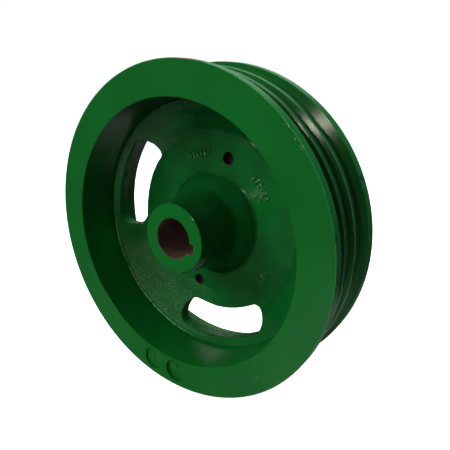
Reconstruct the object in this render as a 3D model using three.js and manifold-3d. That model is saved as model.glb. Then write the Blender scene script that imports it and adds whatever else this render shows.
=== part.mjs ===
// Three-groove V-belt pulley: one grey-iron casting, turned, bored and keyed.
// Millimetres. The shaft axis is Y, the front face looks along -Y, +Z is up, and the origin is
// on the axis at half the face width. The casting is given as three rigid zones that meet along
// its own edges: the grooved rim, the dished web and the keyed hub.
import * as THREE from 'three';
import { mergeVertices } from 'three/addons/utils/BufferGeometryUtils.js';
import Module from 'manifold-3d';

// ---- Driving dimensions ----
const FACE_WIDTH = 71.44;         // 2-13/16 in over the rim
const FRONT = -FACE_WIDTH / 2;
const REAR = FACE_WIDTH / 2;
const JOINT_GAP = 0.3;            // clearance left between neighbouring zones

const RIM_R = 139.7;              // 11 in outside diameter over the end lands
const RIB_R = 136.5;              // the two ribs between grooves are turned lower
const RIM_BORE_R = 112.7;         // 8-7/8 in turned recess, the same front and rear
const RIM_EDGE = 1.2;             // chamfer on the outer edges
const BORE_EDGE = 0.6;            // chamfer on the mouths of the recess

const GROOVE_PITCH = 19.05;       // 3/4 in, B section
const GROOVE_HALF_TOP = 8.5;      // half of the groove's width at RIM_R
const GROOVE_BOTTOM_R = 124.8;
const GROOVE_SLOPE = Math.tan(THREE.MathUtils.degToRad(19));    // 38 degree groove

const DISC_FACE = 25.5;           // flat middle of the web, 61.2 mm behind the front face
const DISC_REAR = 34.9;
const DISC_R = 83.3;              // where the flat ends and the cone starts
const CONE_R = 105.8;             // where the cone eases into the outer ledge
const CONE_FACE = 7.9;
const LEDGE_FACE = 4.5;           // web's front at the rim
const CONE_THICK = 11.4;          // along the axis

const SLOT_COUNT = 3;
const SLOT_FIRST = 42;            // degrees from +X towards +Z
const SLOT_R = 94.6;              // centre line of the kidney slots
const SLOT_HALF_WIDTH = 11.2;
const SLOT_HALF_ANGLE = 21.5;     // to the centre of each round end

const PULLER_R = 63;              // two blind puller holes on a 126 mm circle
const PULLER_HOLE_R = 5.35;
const PULLER_DEPTH = 7.4;
const PULLER_ANGLES = [76.3, 256.3];

const BALANCE_R = 124.5;          // two shallow drilled balance spots in the rim's front face
const BALANCE_HOLE_R = 10.6;
const BALANCE_SPOTS = [{ angle: -99.8, depth: 2.0 }, { angle: -87.6, depth: 2.8 }];
const BALANCE_POINT = 0.9;        // how much deeper the middle of each spot is

const HUB_BORE_R = 17.46;         // 1-3/8 in
const NOSE_R = 30.1;
const NOSE_FACE = FRONT + 5;      // nose stands 5 mm behind the rim's front face
const HUB_EDGE = 0.6;             // chamfer on the nose and on the ends of the bore
const BARREL_ROOT_R = 35.8;       // the cast barrel widens towards the web
const BARREL_ROOT = 10;
// The barrel curves into the flare: growth over BARREL_ROOT_R, and y past BARREL_ROOT
const FLARE_CURVE = [[-0.9, -6], [0.8, 1.8], [4.2, 6.6]];
const FLARE_R = 49;               // foot of the flare on the web
const FLARE_FOOT = { inset: 0.6, rise: 1.6 };    // last point before the flare meets the web
const KEYWAY_WIDTH = 9.53;        // 3/8 in
const KEYWAY_FLOOR = 22.1;        // from the shaft axis
const KEYWAY_ANGLE = -15;

// Raised foundry marks: rows of plain radial bars on the flat of the web
const MARK_ROWS = [
  { angle: 104, r: 65.5, count: 6, step: 3.7 },
  { angle: 39.5, r: 64, count: 6, step: 3.7 },
  { angle: 325, r: 68, count: 3, step: 4.2 },
];
const MARK = { width: 1.4, length: 6, height: 0.8, root: 0.6 };  // root: depth into the web

const SIDES = 96;                 // facets round every turned surface
const DRILL_SIDES = 40;           // facets round a drilled hole
const SLOT_FACETS = 14;           // facets along each arc of a slot
const CLEAR = 5;                  // how far a cutter starts outside the face that it cuts

// ---- Solid helpers ----
const wasm = await Module();
wasm.setup();

function solid(geometry) {
  const bare = geometry.index ? geometry.clone() : geometry;
  bare.deleteAttribute('normal');
  bare.deleteAttribute('uv');
  const merged = mergeVertices(bare, 1e-4);
  return new wasm.Manifold(new wasm.Mesh({
    numProp: 3,
    vertProperties: new Float32Array(merged.attributes.position.array),
    triVerts: new Uint32Array(merged.index.array),
  }));
}

function geometryOf(manifold) {
  const mesh = manifold.getMesh();
  const geometry = new THREE.BufferGeometry();
  geometry.setAttribute('position', new THREE.BufferAttribute(mesh.vertProperties, 3));
  geometry.setIndex(new THREE.BufferAttribute(mesh.triVerts, 1));
  const flat = geometry.toNonIndexed();
  flat.computeVertexNormals();
  return flat;
}

// Turns a line of [radius, y] points about the shaft axis
function lathed(line, sides) {
  return solid(new THREE.LatheGeometry(line.map(([r, y]) => new THREE.Vector2(r, y)), sides));
}

// A ring from a closed profile
function turned(profile) {
  return lathed([...profile, profile[0]], SIDES);
}

// A drilled hole on the axis, from y0 in to y1, its middle drawn out by `point`
function drilled(radius, y0, y1, point = 0) {
  return lathed([[0, y0], [radius, y0], [radius, y1], [0, y1 + point]], DRILL_SIDES);
}

// Moves a solid made on the axis out to a radius and angle in the X-Z plane
function placed(item, radius, degrees) {
  const a = THREE.MathUtils.degToRad(degrees);
  return item.translate([radius * Math.cos(a), 0, radius * Math.sin(a)]);
}

// A bar lying along the radius at an angle: its middle is `r` out and `y` along the axis
function radialBar(length, height, width, r, y, degrees) {
  const bar = new THREE.BoxGeometry(length, height, width).translate(r, y, 0);
  return solid(bar.rotateY(-THREE.MathUtils.degToRad(degrees)));
}

// ---- Rim: three grooves between two lands and two lower ribs ----
function rimZone() {
  const wallAt = (r) => GROOVE_HALF_TOP - (RIM_R - r) * GROOVE_SLOPE;
  const outer = [[RIM_R - RIM_EDGE, FRONT], [RIM_R, FRONT + RIM_EDGE]];
  for (const k of [-1, 0, 1]) {
    const y = k * GROOVE_PITCH;
    const frontTop = k === -1 ? RIM_R : RIB_R;
    const rearTop = k === 1 ? RIM_R : RIB_R;
    outer.push([frontTop, y - wallAt(frontTop)], [GROOVE_BOTTOM_R, y - wallAt(GROOVE_BOTTOM_R)]);
    outer.push([GROOVE_BOTTOM_R, y + wallAt(GROOVE_BOTTOM_R)], [rearTop, y + wallAt(rearTop)]);
  }
  outer.push([RIM_R, REAR - RIM_EDGE], [RIM_R - RIM_EDGE, REAR]);
  const inner = [
    [RIM_BORE_R + BORE_EDGE, REAR], [RIM_BORE_R, REAR - BORE_EDGE],
    [RIM_BORE_R, FRONT + BORE_EDGE], [RIM_BORE_R + BORE_EDGE, FRONT],
  ];
  let rim = turned([...outer, ...inner]);
  for (const { angle, depth } of BALANCE_SPOTS) {
    const spot = drilled(BALANCE_HOLE_R, FRONT - CLEAR, FRONT + depth, BALANCE_POINT);
    rim = rim.subtract(placed(spot, BALANCE_R, angle));
  }
  return rim;
}

// ---- Web: flat disc, cone and ledge, with kidney slots and puller holes ----
function kidney() {
  const a = THREE.MathUtils.degToRad(SLOT_HALF_ANGLE);
  const inner = SLOT_R - SLOT_HALF_WIDTH;
  const outer = SLOT_R + SLOT_HALF_WIDTH;
  const end = (sign) => [SLOT_R * Math.cos(a), sign * SLOT_R * Math.sin(a), SLOT_HALF_WIDTH];
  const shape = new THREE.Shape();
  shape.absarc(0, 0, outer, -a, a, false);
  shape.absarc(...end(1), a, a + Math.PI, false);
  shape.absarc(0, 0, inner, a, -a, true);
  shape.absarc(...end(-1), Math.PI - a, 2 * Math.PI - a, false);
  const options = { depth: 2 * FACE_WIDTH, bevelEnabled: false, curveSegments: SLOT_FACETS };
  return new THREE.ExtrudeGeometry(shape, options)
    .rotateX(Math.PI / 2).translate(0, FACE_WIDTH, 0);
}

function webZone() {
  const outerR = RIM_BORE_R - JOINT_GAP;
  const innerR = FLARE_R + JOINT_GAP / 2;
  const coneSlope = (DISC_FACE - CONE_FACE) / (CONE_R - DISC_R);
  const rearConeR = CONE_R - (DISC_REAR - CONE_FACE - CONE_THICK) / coneSlope;
  let web = turned([
    [innerR, DISC_FACE], [DISC_R, DISC_FACE], [CONE_R, CONE_FACE], [outerR, LEDGE_FACE],
    [outerR, LEDGE_FACE + CONE_THICK], [CONE_R, CONE_FACE + CONE_THICK],
    [rearConeR, DISC_REAR], [innerR, DISC_REAR],
  ]);
  for (let i = 0; i < SLOT_COUNT; i++) {
    const degrees = SLOT_FIRST + (i * 360) / SLOT_COUNT;
    web = web.subtract(solid(kidney().rotateY(-THREE.MathUtils.degToRad(degrees))));
  }
  for (const angle of PULLER_ANGLES) {
    const hole = drilled(PULLER_HOLE_R, DISC_FACE - CLEAR, DISC_FACE + PULLER_DEPTH);
    web = web.subtract(placed(hole, PULLER_R, angle));
  }
  for (const { angle, r, count, step } of MARK_ROWS) {
    for (let i = 0; i < count; i++) {
      const degrees = angle + (i - (count - 1) / 2) * step;
      const y = DISC_FACE + (MARK.root - MARK.height) / 2;
      const height = MARK.height + MARK.root;
      web = web.add(radialBar(MARK.length, height, MARK.width, r, y, degrees));
    }
  }
  return web;
}

// ---- Hub: tapered barrel, flare and keyed bore ----
function hubZone() {
  const outerR = FLARE_R - JOINT_GAP / 2;
  const hub = turned([
    [HUB_BORE_R + HUB_EDGE, NOSE_FACE], [NOSE_R - HUB_EDGE, NOSE_FACE],
    [NOSE_R, NOSE_FACE + HUB_EDGE],
    ...FLARE_CURVE.map(([growth, y]) => [BARREL_ROOT_R + growth, BARREL_ROOT + y]),
    [outerR - FLARE_FOOT.inset, DISC_FACE - FLARE_FOOT.rise], [outerR, DISC_FACE],
    [outerR, REAR], [HUB_BORE_R + HUB_EDGE, REAR],
    [HUB_BORE_R, REAR - HUB_EDGE], [HUB_BORE_R, NOSE_FACE + HUB_EDGE],
  ]);
  const middle = KEYWAY_FLOOR / 2;      // the cutter reaches from the axis to the keyway's floor
  const cutter = radialBar(KEYWAY_FLOOR, 2 * FACE_WIDTH, KEYWAY_WIDTH, middle, 0, KEYWAY_ANGLE);
  return hub.subtract(cutter);
}

// ---- Assembly ----
const GREEN = 0x1c5f27;
const pulley = new THREE.Group();
pulley.name = 'v_belt_pulley';
for (const [name, zone] of [['rim', rimZone()], ['web', webZone()], ['hub', hubZone()]]) {
  const material = new THREE.MeshStandardMaterial({
    color: GREEN, roughness: 0.45, metalness: 0.1,
  });
  material.name = `${name}_enamel`;
  const mesh = new THREE.Mesh(geometryOf(zone), material);
  mesh.name = name;
  pulley.add(mesh);
}

export default pulley;
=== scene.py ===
"""Three-groove V-belt pulley: a green enamelled iron casting in a plain white studio.

The shaft axis is Y, the front face looks along -Y and +Z is up. Profiles are given in millimetres
as radius and place along the axis, and the meshes are made in metres.
"""
import math

import bmesh
import bpy
import numpy as np
from mathutils import Matrix, Vector, noise


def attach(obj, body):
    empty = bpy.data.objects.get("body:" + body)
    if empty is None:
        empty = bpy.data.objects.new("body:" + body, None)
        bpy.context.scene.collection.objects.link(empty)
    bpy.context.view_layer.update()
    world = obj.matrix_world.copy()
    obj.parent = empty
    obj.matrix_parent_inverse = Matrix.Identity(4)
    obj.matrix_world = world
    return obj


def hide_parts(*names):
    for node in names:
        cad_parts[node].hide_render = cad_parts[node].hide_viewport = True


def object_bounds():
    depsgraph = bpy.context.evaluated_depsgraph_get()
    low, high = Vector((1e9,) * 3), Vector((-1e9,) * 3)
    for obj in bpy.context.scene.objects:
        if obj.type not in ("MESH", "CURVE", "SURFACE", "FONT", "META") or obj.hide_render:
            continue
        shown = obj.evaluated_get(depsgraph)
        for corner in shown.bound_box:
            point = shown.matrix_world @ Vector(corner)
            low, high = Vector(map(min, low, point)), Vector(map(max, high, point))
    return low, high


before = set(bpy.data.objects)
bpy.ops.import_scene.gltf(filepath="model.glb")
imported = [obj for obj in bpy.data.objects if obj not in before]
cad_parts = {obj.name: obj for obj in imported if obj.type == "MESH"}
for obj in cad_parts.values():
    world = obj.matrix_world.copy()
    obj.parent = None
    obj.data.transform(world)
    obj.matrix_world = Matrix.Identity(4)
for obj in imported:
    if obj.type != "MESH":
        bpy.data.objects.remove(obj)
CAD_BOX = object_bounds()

MM = 0.001
BODY = "root"

# ---- The casting, in millimetres ----
WIDTH = 71.44
FRONT = -WIDTH / 2
REAR = WIDTH / 2
RIM_R = 139.7
RIB_R = 136.5
RECESS_R = 112.7
GROOVE_PITCH = 19.05
GROOVE_HALF_TOP = 8.5
GROOVE_BOTTOM_R = 124.8
GROOVE_SLOPE = math.tan(math.radians(19))
RIB_HALF_TOP = GROOVE_PITCH / 2 - GROOVE_HALF_TOP + (RIM_R - RIB_R) * GROOVE_SLOPE
DISC_FACE, DISC_REAR, DISC_R = 25.5, 34.9, 83.3
CONE_R, CONE_FACE, LEDGE_FACE, CONE_THICK = 105.8, 7.9, 4.5, 11.4
LEDGE_R = 112.4
CONE_SLOPE_SQUARED = 0.6
SLOT_ANGLES = (42, 162, 282)
SLOT_R, SLOT_HALF_WIDTH, SLOT_HALF_ANGLE = 94.6, 11.2, 21.5
PULLER_R, PULLER_HOLE_R, PULLER_DEPTH, PULLER_ANGLES = 63, 5.35, 7.4, (76.3, 256.3)
BALANCE_R, BALANCE_HOLE_R = 124.5, 10.6
BALANCE_SPOTS = ((-99.8, 2.0), (-87.6, 2.8))      # angle, depth
BORE_R, NOSE_R, NOSE_FACE = 17.46, 30.1, FRONT + 5
BARREL_ROOT_R, BARREL_ROOT = 35.8, 10.0
FLARE_R = 49.0
WEB_OUTER_R, WEB_INNER_R = RECESS_R + 0.15, FLARE_R - 1.2    # run on into the rim and the hub
KEYWAY_WIDTH, KEYWAY_FLOOR, KEYWAY_ANGLE = 9.53, 22.1, -15
KEYWAY_CORNER = 0.5
MARK_ROWS = ((104, 65.5, 6, 3.7), (39.5, 64, 6, 3.7), (325, 68, 3, 4.2))   # angle, r, count, step
MARK_SIZE = (6.0, 2.0, 1.9)       # along the radius, along the axis, across
MARK_MIDDLE = DISC_FACE + 0.1
MARK_ROUNDING, MARK_ROUNDING_STEPS = 0.45, 3
THREAD_PITCH, THREAD_DEPTH = 1.95, 0.55

# Fillet radii, in millimetres
OUTER_EDGE = 0.5
GROOVE_TOP, GROOVE_ROOT = 0.6, 1.2
RECESS_MOUTH = 1.0
BALANCE_CORNER = 0.2
DISC_BLEND, CONE_BLEND, SLOT_BLEND = 3.0, 1.5, 1.2
BORE_EDGE, NOSE_EDGE, REAR_EDGE = 0.7, 1.4, 0.8
BARREL_ROOT_FILLET, FLARE_FILLET, FLARE_FOOT, SEAM_EDGE = 7.0, 5.0, 1.5, 0.2

# Cast unevenness: layers of (height, wavelength), in millimetres
WEB_CAST = ((0.5, 38), (0.28, 11), (0.1, 3.2))
HUB_CAST = ((0.6, 30), (0.25, 9), (0.05, 2.8))
MORE_BY_SLOTS = 0.3               # extra share of unevenness along the slots' edges

# Fineness of the meshes
RIM_SEGMENTS, HUB_SEGMENTS, DRILL_SEGMENTS = 360, 300, 64
RIM_SPACING, HUB_SPACING = 2.5, 1.6     # of points along a profile, in millimetres
WEB_CELL = 0.9
FILLET_STEPS = 4                  # per quarter turn of a fillet
RUN_SUPPORT = 0.25                # a short first and last piece that keep a run flat
CUT_CLEARANCE = 4.0               # how far a cutter stands out of the casting


# ---- Mesh helpers ----
def make_object(name, points_mm, faces):
    """A mesh object from points in millimetres, with its normals turned outwards."""
    mesh = bpy.data.meshes.new(name)
    mesh.from_pydata((np.asarray(points_mm) * MM).tolist(), [], faces)
    bm = bmesh.new()
    bm.from_mesh(mesh)
    bmesh.ops.recalc_face_normals(bm, faces=bm.faces)
    bm.to_mesh(mesh)
    bm.free()
    mesh.shade_smooth()
    obj = bpy.data.objects.new(name, mesh)
    bpy.context.scene.collection.objects.link(obj)
    return obj


def rounded(corners, spacing):
    """A closed profile with each corner (r, y, fillet radius) rounded and its runs divided."""
    spots = [Vector(corner[:2]) for corner in corners]
    loops = []
    for i, (_, _, radius) in enumerate(corners):
        here = spots[i]
        back = (spots[i - 1] - here).normalized()
        ahead = (spots[(i + 1) % len(spots)] - here).normalized()
        if radius <= 0:
            loops.append([here])
            continue
        half = back.angle(ahead) / 2
        centre = here + (back + ahead).normalized() * radius / math.sin(half)
        start = here + back * radius / math.tan(half) - centre
        end = here + ahead * radius / math.tan(half) - centre
        steps = max(2, math.ceil((math.pi - 2 * half) / (math.pi / 2) * FILLET_STEPS))
        sweep = start.angle_signed(end)
        loops.append([centre + Matrix.Rotation(-sweep * k / steps, 2) @ start
                      for k in range(steps + 1)])
    profile = []
    for i, loop in enumerate(loops):
        profile += loop
        a, b = loop[-1], loops[(i + 1) % len(loops)][0]
        run = (b - a).length
        if run > 4 * RUN_SUPPORT:
            count = max(1, round(run / spacing))
            stops = [run * k / count for k in range(1, count)]
            stops = [RUN_SUPPORT] + stops + [run - RUN_SUPPORT]
            profile += [a.lerp(b, stop / run) for stop in stops]
    return profile


def turned(name, profile, segments):
    """The ring that a closed profile sweeps about the shaft axis."""
    rings = np.array([tuple(p) for p in profile])
    turns = np.linspace(0, 2 * math.pi, segments, endpoint=False)
    r, y = rings[:, 0][None, :], rings[:, 1][None, :]
    points = np.stack([r * np.cos(turns)[:, None], np.repeat(y, segments, 0),
                       r * np.sin(turns)[:, None]], axis=-1).reshape(-1, 3)
    n = len(profile)
    faces = [(s * n + i, s * n + (i + 1) % n, (s + 1) % segments * n + (i + 1) % n,
              (s + 1) % segments * n + i) for s in range(segments) for i in range(n)]
    return make_object(name, points, faces)


def drill(outline, segments=DRILL_SEGMENTS):
    """A cutter on the axis from an open outline of [r, y] that starts and ends at r = 0."""
    turns = np.linspace(0, 2 * math.pi, segments, endpoint=False)
    points, rings = [(0, outline[0][1], 0)], []
    for r, y in outline[1:-1]:
        rings.append(len(points))
        points += [(r * math.cos(t), y, r * math.sin(t)) for t in turns]
    last = len(points)
    points.append((0, outline[-1][1], 0))
    faces = []
    for s in range(segments):
        e = (s + 1) % segments
        faces.append((0, rings[0] + s, rings[0] + e))
        faces.append((last, rings[-1] + e, rings[-1] + s))
        faces += [(a + s, b + s, b + e, a + e) for a, b in zip(rings, rings[1:])]
    return make_object("cutter", points, faces)


def place(obj, radius, degrees):
    """Moves a mesh made on the axis out to a radius and angle."""
    angle = math.radians(degrees)
    obj.data.transform(Matrix.Translation(
        Vector((math.cos(angle), 0, math.sin(angle))) * radius * MM))
    return obj


def carve(obj, cutter):
    """Subtracts the cutter for good and removes it."""
    modifier = obj.modifiers.new("carve", "BOOLEAN")
    modifier.operation, modifier.solver, modifier.object = "DIFFERENCE", "EXACT", cutter
    bpy.context.view_layer.update()
    graph = bpy.context.evaluated_depsgraph_get()
    mesh = bpy.data.meshes.new_from_object(obj.evaluated_get(graph))
    obj.modifiers.clear()
    old, obj.data = obj.data, mesh
    mesh.name = obj.name
    bpy.data.meshes.remove(old)
    bpy.data.objects.remove(cutter)


def roughen(obj, layers, strength):
    """Moves points along their normals by noise. Layers are (height mm, wavelength mm)."""
    mesh = obj.data
    count = len(mesh.vertices)
    points = np.empty(count * 3)
    normals = np.empty(count * 3)
    mesh.vertices.foreach_get("co", points)
    mesh.vertex_normals.foreach_get("vector", normals)
    points, normals = points.reshape(-1, 3), normals.reshape(-1, 3)
    moved = strength(points / MM)
    for i, spot in enumerate(points):
        if moved[i] > 0:
            at = Vector(spot / MM)
            height = sum(h * noise.noise(at / wave + Vector((7 * k, 0, 0)))
                         for k, (h, wave) in enumerate(layers))
            points[i] += normals[i] * height * moved[i] * MM
    mesh.vertices.foreach_set("co", points.ravel())
    mesh.update()


def finish_piece(obj, slot, material, *nodes, sharp=35):
    """Gives a piece its material and body, and hides the CAD nodes that it stands for. The slot is
    not used.
    """
    obj.data.set_sharp_from_angle(angle=math.radians(sharp))
    obj.data.materials.clear()
    obj.data.materials.append(material)
    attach(obj, BODY)
    if nodes:
        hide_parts(*nodes)
    return obj


# ---- Rim ----
def half_groove(r):
    """Half the width of a groove at radius r."""
    return GROOVE_HALF_TOP - (RIM_R - r) * GROOVE_SLOPE


def rim_profile():
    """Corners of the rim's section: three grooves, two end lands, two lower ribs, the recess."""
    corners = [(RIM_R, FRONT, OUTER_EDGE)]
    for k in (-1, 0, 1):
        y = k * GROOVE_PITCH
        front_top = RIM_R if k == -1 else RIB_R
        rear_top = RIM_R if k == 1 else RIB_R
        corners += [(front_top, y - half_groove(front_top), GROOVE_TOP),
                    (GROOVE_BOTTOM_R, y - half_groove(GROOVE_BOTTOM_R), GROOVE_ROOT),
                    (GROOVE_BOTTOM_R, y + half_groove(GROOVE_BOTTOM_R), GROOVE_ROOT),
                    (rear_top, y + half_groove(rear_top), GROOVE_TOP)]
    corners += [(RIM_R, REAR, OUTER_EDGE), (RECESS_R, REAR, RECESS_MOUTH),
                (RECESS_R, FRONT, RECESS_MOUTH)]
    return corners


def balance_drill(depth):
    """Cutter for a shallow drilled spot: a slightly conical floor and a centre mark."""
    r, floor, start = BALANCE_HOLE_R, FRONT + depth, FRONT - CUT_CLEARANCE
    centre_mark = [(2.4, floor + 0.35), (2.0, floor + 0.5), (0, floor + 0.9)]
    return drill([(0, start), (r, start), (r, floor - BALANCE_CORNER),
                  (r - BALANCE_CORNER, floor)] + centre_mark)


def make_rim(face_paint, groove_paint):
    """The grooved ring, with a paint of its own on the groove walls."""
    rim = turned("grooved_rim", rounded(rim_profile(), RIM_SPACING), RIM_SEGMENTS)
    for angle, depth in BALANCE_SPOTS:
        carve(rim, place(balance_drill(depth), BALANCE_R, angle))
    finish_piece(rim, "rim_enamel", face_paint, "rim")
    rim.data.materials.append(groove_paint)
    last_groove_edge = GROOVE_PITCH + GROOVE_HALF_TOP - 0.3
    behind_grooves, below_land = GROOVE_BOTTOM_R - 4.8, RIM_R - 1
    for face in rim.data.polygons:
        x, y, z = face.center / MM
        in_groove = (abs(y) < last_groove_edge
                     and behind_grooves < math.hypot(x, z) < below_land)
        face.material_index = int(in_groove)
    return rim


# ---- Web: meshed from a distance field, so that every cast edge is rounded ----
def smooth_max(a, b, k):
    h = np.maximum(k - np.abs(a - b), 0) / k
    return np.maximum(a, b) + h * h * k / 4


def smooth_min(a, b, k):
    return -smooth_max(-a, -b, k)


def slot_distance(x, z):
    """Distance from the nearest slot's outline, below zero inside the slot."""
    r, angle = np.hypot(x, z), np.degrees(np.arctan2(z, x))
    nearest = np.full(len(x), 1e3)
    for middle in SLOT_ANGLES:
        off = (angle - middle + 180) % 360 - 180
        end = np.radians(middle + np.sign(off) * SLOT_HALF_ANGLE)
        to_end = np.hypot(x - SLOT_R * np.cos(end), z - SLOT_R * np.sin(end))
        along = np.where(np.abs(off) < SLOT_HALF_ANGLE, np.abs(r - SLOT_R), to_end)
        nearest = np.minimum(nearest, along - SLOT_HALF_WIDTH)
    return nearest


def web_field(p):
    """Below zero inside the web. Distances in millimetres."""
    x, y, z = p[:, 0], p[:, 1], p[:, 2]
    r = np.hypot(x, z)
    cone = DISC_FACE - (r - DISC_R) * (DISC_FACE - CONE_FACE) / (CONE_R - DISC_R)
    ledge = CONE_FACE - (r - CONE_R) * (CONE_FACE - LEDGE_FACE) / (LEDGE_R - CONE_R)
    slanted = smooth_max(cone, ledge, CONE_BLEND)
    face = smooth_min(slanted, DISC_FACE, DISC_BLEND)
    back = smooth_min(slanted + CONE_THICK, DISC_REAR, DISC_BLEND)
    lean = 1 / np.sqrt(1 + np.where(r > DISC_R, CONE_SLOPE_SQUARED, 0.0))
    body = np.maximum((face - y) * lean, (y - back) * lean)
    shape = smooth_max(body, -slot_distance(x, z), SLOT_BLEND)
    return np.maximum(shape, np.maximum(r - WEB_OUTER_R, WEB_INNER_R - r))


def field_mesh(name, field, low, high, step):
    """Surface nets: one point in each cell that the surface crosses, pulled onto it."""
    axes = [np.arange(low[k], high[k] + step, step) for k in range(3)]
    shape = tuple(len(a) for a in axes)
    grid = np.stack(np.meshgrid(*axes, indexing="ij"), axis=-1).reshape(-1, 3)
    value = field(grid).reshape(shape)
    inside = value < 0
    cells = tuple(n - 1 for n in shape)
    total, hits = np.zeros(cells + (3,)), np.zeros(cells)
    corner_steps = [(i, j, k) for i in (0, 1) for j in (0, 1) for k in (0, 1)]

    def part(array, offset):
        return array[tuple(slice(o, o + n) for o, n in zip(offset, cells))]

    for axis in range(3):
        for a in corner_steps:
            if a[axis]:
                continue
            b = tuple(v + (k == axis) for k, v in enumerate(a))
            va, vb = part(value, a), part(value, b)
            crossed = part(inside, a) != part(inside, b)
            t = np.where(crossed, va / np.where(crossed, va - vb, 1), 0)
            spot = np.array(a, float) + t[..., None] * (np.arange(3) == axis)
            total += np.where(crossed[..., None], spot, 0)
            hits += crossed
    used = hits > 0
    number = np.full(cells, -1)
    number[used] = np.arange(used.sum())
    base = np.argwhere(used)
    points = (base + total[used] / hits[used][:, None]) * step + np.array(low)
    pulls, probe, least_slope, longest_pull = 4, 0.05, 0.2, 0.3
    for _ in range(pulls):
        here = field(points)
        slope = np.stack([(field(points + d) - field(points - d)) / (2 * probe)
                          for d in np.eye(3) * probe], axis=1)
        size = np.maximum((slope ** 2).sum(1), least_slope)
        points -= np.clip(here / size, -longest_pull, longest_pull)[:, None] * slope
    faces = []
    for axis in range(3):
        u, v = (axis + 1) % 3, (axis + 2) % 3
        ahead = np.take(inside, range(1, shape[axis]), axis)
        behind = np.take(inside, range(shape[axis] - 1), axis)
        for spot in np.argwhere(ahead != behind):
            if not (0 < spot[u] < cells[u] and 0 < spot[v] < cells[v]):
                continue
            around = [spot.copy() for _ in range(4)]
            around[1][u] -= 1
            around[2][u] -= 1
            around[2][v] -= 1
            around[3][v] -= 1
            faces.append(tuple(int(number[tuple(c)]) for c in around))
    return make_object(name, points, faces)


def threaded_drill():
    """Cutter for a blind puller hole: countersink, thread grooves and a drill point."""
    r, start, floor = PULLER_HOLE_R, DISC_FACE - CUT_CLEARANCE, DISC_FACE + PULLER_DEPTH
    countersink, sink_top, y = r + 0.9, DISC_FACE - 0.2, DISC_FACE + 0.8
    outline = [(0, start), (countersink, start), (countersink, sink_top), (r, y)]
    while y + THREAD_PITCH < floor:
        outline += [(r + THREAD_DEPTH, y + THREAD_PITCH / 2), (r, y + THREAD_PITCH)]
        y += THREAD_PITCH
    return drill(outline + [(r, floor), (0, floor + 1.2)])


def make_web(material):
    """The dished web with its slots, cast unevenness and puller holes."""
    reach, front_room, rear_room = RECESS_R + 1.5, 2.5, 1.5
    web = field_mesh("dished_web", web_field, (-reach, LEDGE_FACE - front_room, -reach),
                     (reach, DISC_REAR + rear_room, reach), WEB_CELL)

    def cast(points):
        """Fades in off the hub's flare, and rises within 2.4 mm of a slot's edge."""
        r = np.hypot(points[:, 0], points[:, 2])
        by_a_slot = np.clip(1.6 - np.abs(slot_distance(points[:, 0], points[:, 2])) / 1.5, 0, 1)
        return np.clip((r - FLARE_R) / 3, 0, 1) * (1 + MORE_BY_SLOTS * by_a_slot)

    roughen(web, WEB_CAST, cast)
    for angle in PULLER_ANGLES:
        carve(web, place(threaded_drill(), PULLER_R, angle))
    return finish_piece(web, "web_enamel", material, "web", sharp=50)


def make_marks(material):
    """Raised foundry marks: rows of plain radial bars with rounded tops."""
    bm = bmesh.new()
    for angle, r, count, step in MARK_ROWS:
        for i in range(count):
            degrees = angle + (i - (count - 1) / 2) * step
            made = bmesh.ops.create_cube(bm, size=1)["verts"]
            size = Matrix.Diagonal((*(Vector(MARK_SIZE) * MM), 1))
            out = Matrix.Translation(Vector((r, MARK_MIDDLE, 0)) * MM)
            spin = Matrix.Rotation(-math.radians(degrees), 4, "Y")
            bmesh.ops.transform(bm, matrix=spin @ out @ size, verts=made)
    mesh = bpy.data.meshes.new("foundry_marks")
    bm.to_mesh(mesh)
    bm.free()
    marks = bpy.data.objects.new("foundry_marks", mesh)
    bpy.context.scene.collection.objects.link(marks)
    bevel = marks.modifiers.new("edges", "BEVEL")
    bevel.width, bevel.segments = MARK_ROUNDING * MM, MARK_ROUNDING_STEPS
    bpy.context.view_layer.update()
    graph = bpy.context.evaluated_depsgraph_get()
    marks.data = bpy.data.meshes.new_from_object(marks.evaluated_get(graph))
    marks.modifiers.clear()
    marks.data.shade_smooth()
    return finish_piece(marks, "web_enamel", material)


# ---- Hub ----
def keyway_cutter():
    """A bar that reaches from the shaft axis to the keyway's floor, with small corners."""
    width, corner = KEYWAY_WIDTH / 2, KEYWAY_CORNER
    ring = [(0, -width), (KEYWAY_FLOOR - corner, -width), (KEYWAY_FLOOR, -width + corner),
            (KEYWAY_FLOOR, width - corner), (KEYWAY_FLOOR - corner, width), (0, width)]
    points = [(r, y, z) for y in (FRONT - CUT_CLEARANCE, REAR + CUT_CLEARANCE) for r, z in ring]
    n = len(ring)
    faces = [tuple(range(n)), tuple(range(n, 2 * n))]
    faces += [(i, (i + 1) % n, n + (i + 1) % n, n + i) for i in range(n)]
    key = make_object("cutter", points, faces)
    key.data.transform(Matrix.Rotation(-math.radians(KEYWAY_ANGLE), 4, "Y"))
    return key


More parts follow.
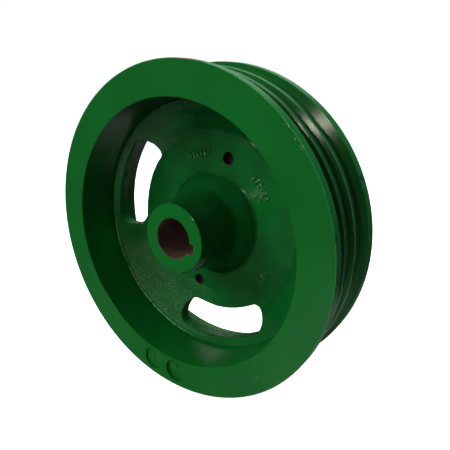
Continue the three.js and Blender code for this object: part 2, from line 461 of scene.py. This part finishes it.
def make_hub(material):
    """Nose, tapered barrel and flare, with the bore and keyway."""
    corners = [
        (BORE_R, NOSE_FACE, BORE_EDGE), (NOSE_R, NOSE_FACE, NOSE_EDGE),
        (BARREL_ROOT_R, BARREL_ROOT, BARREL_ROOT_FILLET),
        (FLARE_R - 5.0, BARREL_ROOT + 10.3, FLARE_FILLET),
        (FLARE_R - 2.2, DISC_FACE - 1.0, FLARE_FOOT),
        (FLARE_R - 0.2, DISC_FACE + 0.1, SEAM_EDGE),
        (FLARE_R - 0.9, DISC_REAR, 0),
        (FLARE_R - 0.4, REAR, REAR_EDGE), (BORE_R, REAR, BORE_EDGE),
    ]
    hub = turned("keyed_hub", rounded(corners, HUB_SPACING), HUB_SEGMENTS)

    def cast(points):
        """None in the bore or on the two turned faces; it fades in over 1 to 4 mm."""
        r, y = np.hypot(points[:, 0], points[:, 2]), points[:, 1]
        return (np.clip((r - NOSE_R + 0.4) / 1, 0, 1) * np.clip((y - NOSE_FACE - 1.5) / 4, 0, 1)
                * np.clip((REAR - 2 - y) / 3, 0, 1))

    roughen(hub, HUB_CAST, cast)
    carve(hub, keyway_cutter())
    return finish_piece(hub, "hub_enamel", material, "hub")


# ---- Materials ----
def srgb(*channels):
    """8-bit display colour to a linear RGBA."""
    linear = [c / 255 / 12.92 if c <= 10 else ((c / 255 + 0.055) / 1.055) ** 2.4 for c in channels]
    return (*linear, 1.0)


FULL_SHARE = 0.6        # part of a patch round the axis that is at full strength
DOT_CORE = 0.5          # part of a dot that is at full strength
QUARTER_TURN = 0.25     # Blender gives the anisotropic direction in turns


class Graph:
    """Short calls for one material's nodes. Each returns an output socket."""

    def __init__(self, name):
        self.material = bpy.data.materials.new(name)
        self.material.use_nodes = True
        self.tree = self.material.node_tree
        self.shader = self.tree.nodes["Principled BSDF"]
        metres = self.tree.nodes.new("ShaderNodeTexCoord").outputs["Object"]
        split = self.tree.nodes.new("ShaderNodeSeparateXYZ")
        scaled = self.tree.nodes.new("ShaderNodeVectorMath")
        scaled.operation = "SCALE"
        scaled.inputs["Scale"].default_value = 1 / MM
        self.tree.links.new(metres, scaled.inputs[0])
        self.at = scaled.outputs[0]                    # millimetres
        self.tree.links.new(self.at, split.inputs[0])
        self.x, self.y, self.z = split.outputs
        self.r = self.length(self.x, self.z)

    def put(self, socket, value):
        """Links an output to a socket, or sets the socket's own value."""
        if isinstance(value, bpy.types.NodeSocket):
            self.tree.links.new(value, socket)
        else:
            socket.default_value = value

    def math(self, operation, *values):
        node = self.tree.nodes.new("ShaderNodeMath")
        node.operation = operation
        for socket, value in zip(node.inputs, values):
            self.put(socket, value)
        return node.outputs[0]

    def length(self, a, b):
        return self.math("SQRT", self.math("ADD", self.math("MULTIPLY", a, a),
                                           self.math("MULTIPLY", b, b)))

    def all_of(self, first, *others):
        """The product of masks: 1 only where every one of them is 1."""
        product = first
        for mask in others:
            product = self.math("MULTIPLY", product, mask)
        return product

    def ramp(self, value, low, high):
        """0 below low, 1 above high, smooth between. High may be the smaller one."""
        node = self.tree.nodes.new("ShaderNodeMapRange")
        node.interpolation_type = "SMOOTHSTEP"
        flip = high < low
        self.put(node.inputs["Value"], value)
        node.inputs["From Min"].default_value = min(low, high)
        node.inputs["From Max"].default_value = max(low, high)
        node.inputs["To Min"].default_value = float(flip)
        node.inputs["To Max"].default_value = float(not flip)
        return node.outputs["Result"]

    def noise(self, size, detail=2.0, roughness=0.5, stretch=None):
        """Noise whose largest features are about `size` millimetres across."""
        node = self.tree.nodes.new("ShaderNodeTexNoise")
        where = self.at
        if stretch:
            scale = self.tree.nodes.new("ShaderNodeVectorMath")
            scale.operation = "MULTIPLY"
            self.put(scale.inputs[0], where)
            scale.inputs[1].default_value = stretch
            where = scale.outputs[0]
        self.put(node.inputs["Vector"], where)
        node.inputs["Scale"].default_value = 1 / size
        node.inputs["Detail"].default_value = detail
        node.inputs["Roughness"].default_value = roughness
        return node.outputs["Fac"]

    def cloud(self, size, detail, low, high, roughness=0.5):
        """Soft patches: 0 where the noise is below low, 1 where it is above high."""
        return self.ramp(self.noise(size, detail, roughness), low, high)

    def mix(self, factor, a, b):
        """Colour a where the factor is 0, colour b where it is 1."""
        node = self.tree.nodes.new("ShaderNodeMix")
        node.data_type = "RGBA"
        colours = [s for s in node.inputs if s.type == "RGBA"]
        self.put(node.inputs[0], factor)
        self.put(colours[0], a)
        self.put(colours[1], b)
        return [s for s in node.outputs if s.type == "RGBA"][0]

    def around(self, middle, half):
        """1 at an angle about the shaft axis, in degrees, fading to 0 at `half` from it."""
        angle = self.math("ARCTAN2", self.z, self.x)
        off = self.math("ABSOLUTE", self.math("SUBTRACT", angle, math.radians(middle)))
        return self.ramp(off, math.radians(half), math.radians(half) * FULL_SHARE)

    def distance(self, r, degrees):
        """Distance from a line parallel to the shaft, at radius r and an angle."""
        angle = math.radians(degrees)
        dx = self.math("SUBTRACT", self.x, r * math.cos(angle))
        dz = self.math("SUBTRACT", self.z, r * math.sin(angle))
        return self.length(dx, dz)

    def flecks(self, size, share):
        """Small round dots, about one in each cell of `size` millimetres; share is their radius
        as a part of the cell."""
        node = self.tree.nodes.new("ShaderNodeTexVoronoi")
        self.put(node.inputs["Vector"], self.at)
        node.inputs["Scale"].default_value = 1 / size
        return self.ramp(node.outputs["Distance"], share, share * DOT_CORE)

    def edge(self, r, y, width):
        """1 on the circular edge at (r, y), fading to 0 at `width` from it."""
        dr, dy = self.math("SUBTRACT", self.r, r), self.math("SUBTRACT", self.y, y)
        return self.ramp(self.length(dr, dy), width, 0.0)

    def bump(self, height, millimetres, normal=None):
        """A normal for a height map whose full scale is this many millimetres."""
        node = self.tree.nodes.new("ShaderNodeBump")
        node.inputs["Strength"].default_value = 1.0
        node.inputs["Distance"].default_value = millimetres * MM
        self.put(node.inputs["Height"], height)
        if normal is not None:
            self.put(node.inputs["Normal"], normal)
        return node.outputs["Normal"]

    def round_the_axis(self, amount):
        """Turning marks run round the shaft axis, so gloss spreads across them."""
        node = self.tree.nodes.new("ShaderNodeTangent")
        node.direction_type, node.axis = "RADIAL", "Y"
        self.put(self.shader.inputs["Tangent"], node.outputs[0])
        self.shader.inputs["Anisotropic"].default_value = amount
        self.shader.inputs["Anisotropic Rotation"].default_value = QUARTER_TURN


GREEN = srgb(7, 100, 33)             # turned faces
GREEN_DEEP = srgb(5, 93, 29)
LAND_HIGHLIGHT_GREEN = srgb(32, 142, 68)       # painted highlight: a lighter green on the rim's outer lands
CREST_HIGHLIGHT_GREEN = srgb(84, 186, 116)     # painted highlight lines on the ribs' edges
PAINTED_HIGHLIGHT_GREEN = srgb(96, 160, 104)      # painted highlight: glints on the sand patch and a light line along the ledge
CAST_GREEN = srgb(12, 98, 38)        # web
CAST_DEEP = srgb(9, 86, 32)
# The hub's cast paint is the web's made darker: painted shade on the barrel and flare
HUB_SHADED_GREEN = srgb(10, 84, 32)
HUB_SHADED_DEEP = srgb(8, 74, 28)
# Painted shade: dark colour in the ledge's crease and round the marks' feet
PAINTED_SHADE_DARK = srgb(22, 34, 24)
# Painted glints: pale dots on the rim's front edge, the upper ledge and the marks' tops
PAINTED_GLINT_PALE = srgb(150, 176, 150)
PRIMER = srgb(132, 66, 38)
IRON = srgb(104, 92, 76)
HOLE_BROWN = srgb(44, 36, 33)
BORE_BROWN = srgb(108, 80, 72)
BORE_DARK = srgb(84, 68, 63)

# Patches of wear on a circular edge: angle, half-length in degrees, how readily the paint chips
FRONT_WEAR = ((83, 5, 0.35), (37, 12, 0.02), (-33, 5, 0.2), (-62, 5, 0.0), (132, 6, 0.05),
              (-150, 8, 0.05), (8, 10, 0.02))
REAR_WEAR = ((64, 8, 0.15), (-20, 12, 0.1), (150, 10, 0.15), (-100, 10, 0.1))
MOUTH_WEAR = ((107, 2, 0.1), (124, 2, 0.1), (135, 2, 0.15), (-60, 6, 0.0))
NOSE_WEAR = ((-38, 8, 0.0), (60, 10, 0.0))
# Worn edges: radius, place along the axis, width of the worn band, patches
RIM_EDGES = ((RIM_R, FRONT, 1.6, FRONT_WEAR), (RIM_R, REAR, 1.6, REAR_WEAR),
             (RECESS_R, FRONT, 1.0, MOUTH_WEAR))
HUB_EDGES = ((NOSE_R, NOSE_FACE, 1.0, NOSE_WEAR),)
CHIPPED = {"low": 0.5, "high": 0.62}     # noise at which paint starts to go and is gone
NIB = (127.4, -46.2)                     # a speck in the front face's paint: radius, angle

GLOSS, WORN_MATT = 0.2, 0.3              # roughness of turned paint, and what wear adds
CAST_GLOSS, CAST_HAZE = 0.12, 0.1        # roughness of cast paint, and how much it varies
SAND_MATT, RUST_MATT = 0.46, 0.2         # what sand texture and bare iron add to it
TURNED_STREAK = 0.75                     # how strongly turning marks draw out the gloss
RUB_IRON = 0.25                          # how much iron shows through the rubbed groove paint
SAND_GRAIN, HUB_GRAIN = 0.1, 0.005       # height of the sand texture, in millimetres
SAND_LEFT_OVER = 0.05                    # share of the sand texture outside its patch
MARK_GLINT = 0.5                         # strength of the painted glints on the marks' tops
KEYWAY_PRIMER = 0.7                      # strength of the orange by the keyway


def worn_edges(g, edges, colour):
    """Chips along circular edges. Returns the new colour and where the paint is gone."""
    chips = g.noise(size=3.2, detail=4, roughness=0.65)
    worn = 0.0
    for r, y, width, patches in edges:
        near = g.edge(r, y, width)
        for middle, half, readiness in patches:
            mask = g.all_of(near, g.around(middle, half), g.math("ADD", chips, readiness))
            worn = g.math("MAXIMUM", worn, g.ramp(mask, **CHIPPED))
    return g.mix(worn, colour, g.mix(g.ramp(chips, **CHIPPED), PRIMER, IRON)), worn


def turned_enamel():
    """Smooth paint on the turned faces of the rim, chipped to primer along the edges."""
    g = Graph("turned_enamel")
    colour = g.mix(g.cloud(size=60, detail=3, low=0.3, high=0.7), GREEN, GREEN_DEEP)
    # Painted highlight: a patchy lighter green on the outer lands
    land_highlight = g.all_of(g.ramp(g.r, RIM_R - 0.7, RIM_R - 0.3),
                    g.cloud(size=9, detail=4, roughness=0.6, low=0.25, high=0.5))
    colour = g.mix(land_highlight, colour, LAND_HIGHLIGHT_GREEN)
    colour, worn = worn_edges(g, RIM_EDGES, colour)
    # Painted glints: pale dots on the front edge at the upper right
    edge_glints = g.all_of(g.edge(RIM_R - 1, FRONT, width=3), g.around(middle=42, half=6),
                      g.flecks(size=2.4, share=0.24))
    colour = g.mix(edge_glints, colour, PAINTED_GLINT_PALE)
    colour = g.mix(g.ramp(g.distance(*NIB), 0.9, 0.5), colour, PRIMER)
    g.put(g.shader.inputs["Base Color"], colour)
    sheen = g.math("MULTIPLY", g.noise(size=14, detail=3), 0.08)
    g.put(g.shader.inputs["Roughness"],
          g.math("ADD", g.math("ADD", sheen, GLOSS), g.math("MULTIPLY", worn, WORN_MATT)))
    return g.material


def groove_enamel():
    """Thin paint on the groove walls; gloss spreads across the turning marks."""
    g = Graph("groove_enamel")
    rub = g.ramp(g.noise(size=3, detail=3, roughness=0.6, stretch=(1, 2.5, 1)), 0.55, 0.75)
    colour = g.mix(g.math("MULTIPLY", rub, RUB_IRON), GREEN, IRON)
    colour = g.mix(g.ramp(g.r, RIB_R - 0.6, RIB_R - 0.2), colour, GREEN_DEEP)
    # Painted highlight: light lines along the ribs' edges
    for side in (-1, 1):
        for rib in (-GROOVE_PITCH / 2, GROOVE_PITCH / 2):
            y = rib + side * RIB_HALF_TOP
            colour = g.mix(g.edge(RIB_R, y, width=0.9), colour, CREST_HIGHLIGHT_GREEN)
    g.put(g.shader.inputs["Base Color"], colour)
    g.put(g.shader.inputs["Roughness"], g.math("ADD", GLOSS, g.math("MULTIPLY", rub, 0.1)))
    g.round_the_axis(TURNED_STREAK)
    return g.material


def cast_paint(name, light, deep):
    """Starts a paint over sand-cast iron: its graph, cloudy colour and roughness."""
    g = Graph(name)
    colour = g.mix(g.cloud(size=22, detail=3, low=0.3, high=0.7), light, deep)
    haze = g.math("MULTIPLY", g.noise(size=7, detail=3), CAST_HAZE)
    return g, colour, g.math("ADD", CAST_GLOSS, haze)


def finish_cast(g, colour, roughness, grain, where=1.0):
    """Ends it: colour, roughness, and sand grain of a height, in a mask, on longer ripples."""
    g.put(g.shader.inputs["Base Color"], colour)
    g.put(g.shader.inputs["Roughness"], roughness)
    sand = g.all_of(g.noise(size=1.15, detail=2, roughness=0.55), where)
    ripples = g.bump(g.noise(size=5, detail=2), 0.03)
    g.put(g.shader.inputs["Normal"], g.bump(sand, grain, ripples))
    return g.material


def sand_patch(g):
    """Where the casting's sand texture shows through: the lower left of the cone."""
    return g.all_of(g.ramp(g.r, DISC_R - 19, DISC_R - 13), g.ramp(g.r, LEDGE_R - 1, CONE_R + 1),
                    g.around(middle=-122, half=42))


def web_enamel():
    """Web paint: sand patch, painted glints, painted shade and highlight by the ledge, dark puller
    holes.
    """
    g, colour, roughness = cast_paint("web_enamel_paint", CAST_GREEN, CAST_DEEP)
    patch = sand_patch(g)
    # Painted glints: pale green dots on the sand patch
    grain_glints = g.all_of(patch, g.cloud(size=12, detail=3, low=0.35, high=0.55),
                      g.flecks(size=1.9, share=0.3))
    colour = g.mix(grain_glints, colour, PAINTED_HIGHLIGHT_GREEN)
    roughness = g.math("ADD", roughness, g.math("MULTIPLY", patch, SAND_MATT))
    sand = g.math("ADD", SAND_LEFT_OVER, g.math("MULTIPLY", patch, 1 - SAND_LEFT_OVER))
    # Painted shade: darker in the upper part of the crease between the ledge and the rim's wall
    seam = g.all_of(g.ramp(g.r, LEDGE_R - 1.6, LEDGE_R - 0.2),
                    g.cloud(size=5, detail=4, roughness=0.65, low=0.42, high=0.56),
                    g.around(middle=112, half=48))
    colour = g.mix(seam, colour, PAINTED_SHADE_DARK)
    # Painted highlight: a broken light line along the ledge on the lower left
    bead_highlight = g.all_of(g.ramp(g.r, LEDGE_R - 1.3, LEDGE_R - 0.7),
                    g.cloud(size=4, detail=3, low=0.36, high=0.5),
                    g.around(middle=-135, half=44))
    colour = g.mix(bead_highlight, colour, PAINTED_HIGHLIGHT_GREEN)
    # Painted glints: pale dots along the upper ledge
    ledge = g.all_of(g.ramp(g.r, CONE_R - 2, CONE_R), g.around(middle=100, half=40),
                     g.flecks(size=3.4, share=0.12))
    colour = g.mix(ledge, colour, PAINTED_GLINT_PALE)
    for angle in PULLER_ANGLES:
        away = g.distance(PULLER_R, angle)
        inside = g.all_of(g.ramp(away, PULLER_HOLE_R + 0.9, PULLER_HOLE_R + 0.6),
                          g.ramp(g.y, DISC_FACE + 0.3, DISC_FACE + 0.9),
                          g.ramp(g.y, DISC_REAR - 0.3, DISC_REAR - 0.7))
        colour = g.mix(inside, colour, HOLE_BROWN)
    return finish_cast(g, colour, roughness, SAND_GRAIN, sand)


def marks_enamel():
    """The raised marks' paint: painted shade round their feet and broken painted glints on top."""
    g, colour, roughness = cast_paint("marks_enamel_paint", CAST_GREEN, CAST_DEEP)
    # Painted shade: darker round the marks' feet
    feet = g.ramp(g.y, DISC_FACE - 0.65, DISC_FACE - 0.35)
    colour = g.mix(feet, colour, PAINTED_SHADE_DARK)
    # Painted glints: broken pale patches on the marks' tops
    tops = g.all_of(g.ramp(g.y, DISC_FACE - 0.7, DISC_FACE - 0.85),
                    g.cloud(size=2.2, detail=2, low=0.5, high=0.6), MARK_GLINT)
    colour = g.mix(tops, colour, PAINTED_GLINT_PALE)
    return finish_cast(g, colour, roughness, SAND_GRAIN)


def in_keyway(g):
    """1 on the keyway's walls and floor."""
    turn = math.radians(KEYWAY_ANGLE)
    out = g.math("ADD", g.math("MULTIPLY", g.x, math.cos(turn)),
                 g.math("MULTIPLY", g.z, math.sin(turn)))
    side = g.math("ABSOLUTE", g.math("SUBTRACT", g.math("MULTIPLY", g.z, math.cos(turn)),
                                     g.math("MULTIPLY", g.x, math.sin(turn))))
    return g.all_of(g.ramp(side, KEYWAY_WIDTH / 2 + 0.3, KEYWAY_WIDTH / 2 + 0.1),
                    g.ramp(out, 0, 1), g.ramp(out, KEYWAY_FLOOR + 0.3, KEYWAY_FLOOR + 0.1))


def hub_enamel():
    """The hub's paint: turned nose face, chipped edge, and rusty iron in bore and keyway."""
    # Darker than the web's same paint: painted shade on the barrel and flare
    g, colour, roughness = cast_paint("hub_enamel_paint", HUB_SHADED_GREEN, HUB_SHADED_DEEP)
    colour, _ = worn_edges(g, HUB_EDGES, colour)
    colour = g.mix(g.ramp(g.y, NOSE_FACE + 0.9, NOSE_FACE + 0.5), colour, GREEN)
    bare = g.math("MAXIMUM", in_keyway(g), g.ramp(g.r, BORE_R + 0.35, BORE_R + 0.15))
    rust = g.mix(g.cloud(size=6, detail=4, roughness=0.6, low=0.35, high=0.65),
                 BORE_DARK, BORE_BROWN)
    by_keyway = g.all_of(g.ramp(g.y, NOSE_FACE + 7, NOSE_FACE + 2),
                         g.around(middle=KEYWAY_ANGLE + 8, half=32), KEYWAY_PRIMER)
    rust = g.mix(by_keyway, rust, PRIMER)
    colour = g.mix(bare, colour, rust)
    roughness = g.math("ADD", roughness, g.math("MULTIPLY", bare, RUST_MATT))
    return finish_cast(g, colour, roughness, HUB_GRAIN)


# ---- Studio ----
SOFTBOX_DISTANCE = 1.6
SOFTBOXES = (
    # name, azimuth, elevation, (width, height), power, mirrored in the paint, colour
    ("key", 5, 22, (0.16, 0.16), 3.2, True, (1.0, 0.95, 0.78)),
    ("front_high", -13, 22, (0.8, 0.8), 3.5, False),
    ("front_low", 4, -38, (0.8, 1.0), 22.0, False),
    ("front_left", -38, 30, (0.8, 0.7), 13.0, False),
    ("left", -90, 8, (0.8, 1.0), 19.0, False),
    ("left_rear", -120, 60, (0.9, 0.9), 7.0, False),
    ("rear_high", 165, 60, (0.9, 0.9), 14.0, False),
    ("below", 0, -60, (1.2, 1.2), 19.0, False),
)
# Pale parts of the room as the paint sees them: brightness, and the limits of each part in the
# direction's own coordinates, as (axis, from, to, the side of them on which it is bright)
ROOM = (
    ("sheet_behind", 0.45, (("Y", 0.1, 0.6, "above"), ("X", -0.2, 0.0, "below"),
                            ("Z", 0.08, 0.25, "above"))),
    ("sheet_left", 0.16, (("Z", -0.42, -0.35, "below"), ("X", -0.68, -0.55, "below"))),
    ("sheet_under", 0.18, (("Z", -0.5, -0.4, "below"), ("Y", 0.3, 0.6, "above"),
                           ("X", -0.5, -0.35, "above"))),
)
WALLS = ("Y", 0.0, 0.5, 0.07, 0.03)      # a dim room, brightness falling from front to rear
# The sheet, in metres
FLOOR_FRONT, FLOOR_BACK, FLOOR_TOP, FLOOR_HALF_WIDTH = -3.5, 6.0, 7.0, 9.0
FLOOR_BEND, FLOOR_BEND_STEPS = 1.2, 12
FLOOR_WHITE, FLOOR_MATT, FLOOR_GLOW = (0.9, 0.9, 0.9, 1), 0.9, 0.95
WHITE = (1, 1, 1, 1)

# The camera, from the fit to the photograph's circular edges
CAMERA_PLACE = (0.22219, -0.28447, 0.11898)
CAMERA_AZIMUTH, CAMERA_ELEVATION = 39.159, 18.841
CAMERA_SENSOR, CAMERA_LENS = 36.0, 34.37
CAMERA_SHIFT = (0.0840, 0.0209)


def make_floor():
    """A pale sheet on which the pulley stands, drawn up behind it."""
    low, bend = CAD_BOX[0][2], FLOOR_BEND
    outline = [(FLOOR_FRONT, low), (FLOOR_BACK - bend, low)]
    for k in range(1, FLOOR_BEND_STEPS + 1):
        turn = math.pi / 2 * k / FLOOR_BEND_STEPS
        outline.append((FLOOR_BACK - bend + bend * math.sin(turn),
                        low + bend - bend * math.cos(turn)))
    outline.append((FLOOR_BACK, FLOOR_TOP))
    points = [(x / MM, y / MM, z / MM) for x in (-FLOOR_HALF_WIDTH, FLOOR_HALF_WIDTH)
              for y, z in outline]
    n = len(outline)
    floor = make_object("floor", points, [(i, i + 1, n + i + 1, n + i) for i in range(n - 1)])
    paper = bpy.data.materials.new("pale_floor")
    paper.use_nodes = True
    shader = paper.node_tree.nodes["Principled BSDF"]
    shader.inputs["Base Color"].default_value = FLOOR_WHITE
    shader.inputs["Roughness"].default_value = FLOOR_MATT
    shader.inputs["Emission Color"].default_value = WHITE
    shader.inputs["Emission Strength"].default_value = FLOOR_GLOW
    floor.data.materials.append(paper)
    floor.visible_glossy = False
    floor.visible_diffuse = False


def add_softbox(name, azimuth, elevation, size, power, mirrored, colour=(1, 1, 1)):
    """An area light aimed at the pulley. Azimuth is from the front (-Y) towards +X."""
    data = bpy.data.lights.new(name, "AREA")
    data.shape, data.size, data.size_y = "RECTANGLE", size[0], size[1]
    data.energy, data.color = power, colour
    light = bpy.data.objects.new(name, data)
    a, e = math.radians(azimuth), math.radians(elevation)
    light.location = Vector((math.sin(a) * math.cos(e), -math.cos(a) * math.cos(e),
                             math.sin(e))) * SOFTBOX_DISTANCE
    light.rotation_euler = (-light.location).to_track_quat("-Z", "Y").to_euler()
    light.visible_camera = False
    light.visible_glossy = mirrored
    bpy.context.scene.collection.objects.link(light)


def make_world():
    """White where the camera sees it; the paint sees a dim room with three paler parts."""
    world = bpy.data.worlds.new("white_room")
    bpy.context.scene.world = world
    world.use_nodes = True
    nodes, links = world.node_tree.nodes, world.node_tree.links
    background = nodes["Background"]
    background.inputs["Color"].default_value = WHITE
    way = nodes.new("ShaderNodeSeparateXYZ")
    links.new(nodes.new("ShaderNodeTexCoord").outputs["Generated"], way.inputs[0])

    def step(axis, low, high, at_low, at_high):
        """Brightness that changes along one axis of the direction."""
        node = nodes.new("ShaderNodeMapRange")
        node.interpolation_type = "SMOOTHSTEP"
        for socket, value in (("From Min", low), ("From Max", high), ("To Min", at_low),
                              ("To Max", at_high)):
            node.inputs[socket].default_value = value
        links.new(way.outputs[axis], node.inputs["Value"])
        return node.outputs["Result"]

    def pick(operation, a, b):
        """The lesser or greater of two brightnesses."""
        node = nodes.new("ShaderNodeMath")
        node.operation = operation
        for socket, value in zip(node.inputs, (a, b)):
            links.new(value, socket)
        return node.outputs[0]

    seen = nodes.new("ShaderNodeLightPath").outputs["Is Camera Ray"]
    brightness = pick("MAXIMUM", seen, step(*WALLS))
    for _, bright, limits in ROOM:
        part = None
        for axis, low, high, side in limits:
            ends = (0.0, bright) if side == "above" else (bright, 0.0)
            limit = step(axis, low, high, *ends)
            part = limit if part is None else pick("MINIMUM", part, limit)
        brightness = pick("MAXIMUM", brightness, part)
    links.new(brightness, background.inputs["Strength"])


def make_studio():
    """Room, softboxes and sheet, shown without any change of tone."""
    make_world()
    for softbox in SOFTBOXES:
        add_softbox(*softbox)
    make_floor()
    bpy.context.scene.view_settings.view_transform = "Standard"


def make_camera():
    """The photograph's view, from the front right and a little above."""
    data = bpy.data.cameras.new("camera")
    data.sensor_width, data.lens = CAMERA_SENSOR, CAMERA_LENS
    data.shift_x, data.shift_y = CAMERA_SHIFT
    camera = bpy.data.objects.new("camera", data)
    azimuth, elevation = math.radians(CAMERA_AZIMUTH), math.radians(CAMERA_ELEVATION)
    look = Vector((-math.sin(azimuth) * math.cos(elevation),
                   math.cos(azimuth) * math.cos(elevation), -math.sin(elevation)))
    camera.location = CAMERA_PLACE
    camera.rotation_euler = look.to_track_quat("-Z", "Y").to_euler()
    bpy.context.scene.collection.objects.link(camera)
    bpy.context.scene.camera = camera


make_camera()
make_studio()
make_rim(turned_enamel(), groove_enamel())
make_web(web_enamel())
make_marks(marks_enamel())
make_hub(hub_enamel())
